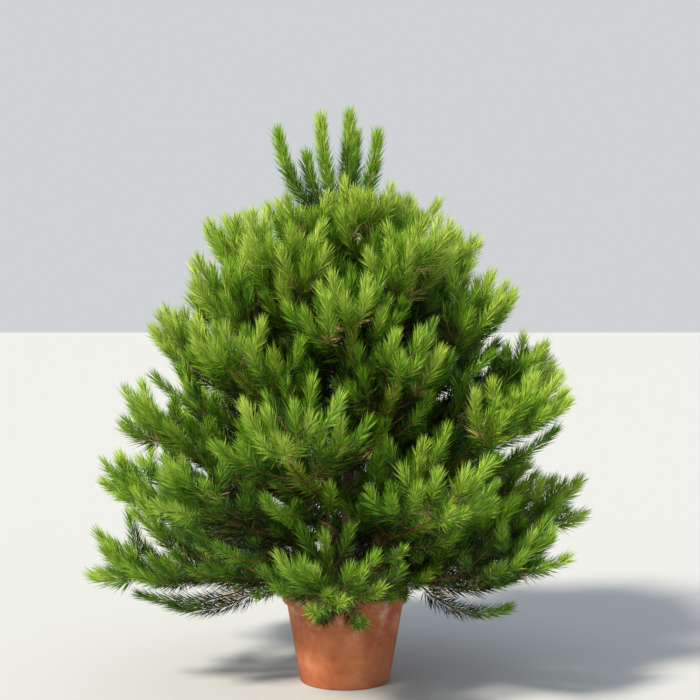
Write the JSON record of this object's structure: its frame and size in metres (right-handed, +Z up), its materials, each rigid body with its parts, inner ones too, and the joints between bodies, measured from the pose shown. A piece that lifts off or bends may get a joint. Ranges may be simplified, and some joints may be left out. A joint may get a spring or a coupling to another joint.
{
  "type": "potted scots pine",
  "caption": "Bushy young whorled pine with long twin needles, upright leading shoots and low spreading boughs, in a plain clay pot.",
  "frame": {"origin": "centre of the pot's flat underside, on the ground", "axes": "+Z up along the trunk, -Y towards the pictured side, +X to the right as seen from there"},
  "size_m": [1.7149, 1.7088, 2.0009],
  "materials": {
    "needles": "satin",
    "young_bark": "matte",
    "bark": "matte",
    "clay": "matte",
    "soil": "matte"
  },
  "bodies": {
    "root": {"pot": "clay", "soil": "soil", "trunk": "bark", "bough_1_1": "young_bark", "foliage_1_1": "needles", "bough_1_2": "young_bark", "foliage_1_2": "needles", "bough_1_3": "young_bark", "foliage_1_3": "needles", "bough_1_4": "young_bark", "foliage_1_4": "needles", "bough_1_5": "young_bark", "foliage_1_5": "needles", "bough_1_6": "young_bark", "foliage_1_6": "needles", "bough_2_1": "young_bark", "foliage_2_1": "needles", "bough_2_2": "young_bark", "foliage_2_2": "needles", "bough_2_3": "young_bark", "foliage_2_3": "needles", "bough_2_4": "young_bark", "foliage_2_4": "needles", "bough_2_5": "young_bark", "foliage_2_5": "needles", "bough_2_6": "young_bark", "foliage_2_6": "needles", "foliage_3_1": "needles", "foliage_3_2": "needles", "foliage_3_3": "needles", "foliage_3_4": "needles", "foliage_3_5": "needles", "foliage_3_6": "needles", "foliage_4_1": "needles", "foliage_4_2": "needles", "foliage_4_3": "needles", "foliage_4_4": "needles", "foliage_4_5": "needles", "foliage_4_6": "needles", "foliage_5_1": "needles", "foliage_5_2": "needles", "foliage_5_3": "needles", "foliage_5_4": "needles", "foliage_5_5": "needles", "foliage_6_1": "needles", "foliage_6_2": "needles", "foliage_6_3": "needles", "foliage_6_4": "needles", "foliage_6_5": "needles", "foliage_7_1": "needles", "foliage_7_2": "needles", "foliage_7_3": "needles", "foliage_7_4": "needles", "foliage_top_1": "needles", "foliage_top_2": "needles", "foliage_top_3": "needles", "foliage_top_4": "needles", "foliage_top_5": "needles", "foliage_leader": "needles"}
  },
  "joints": []
}
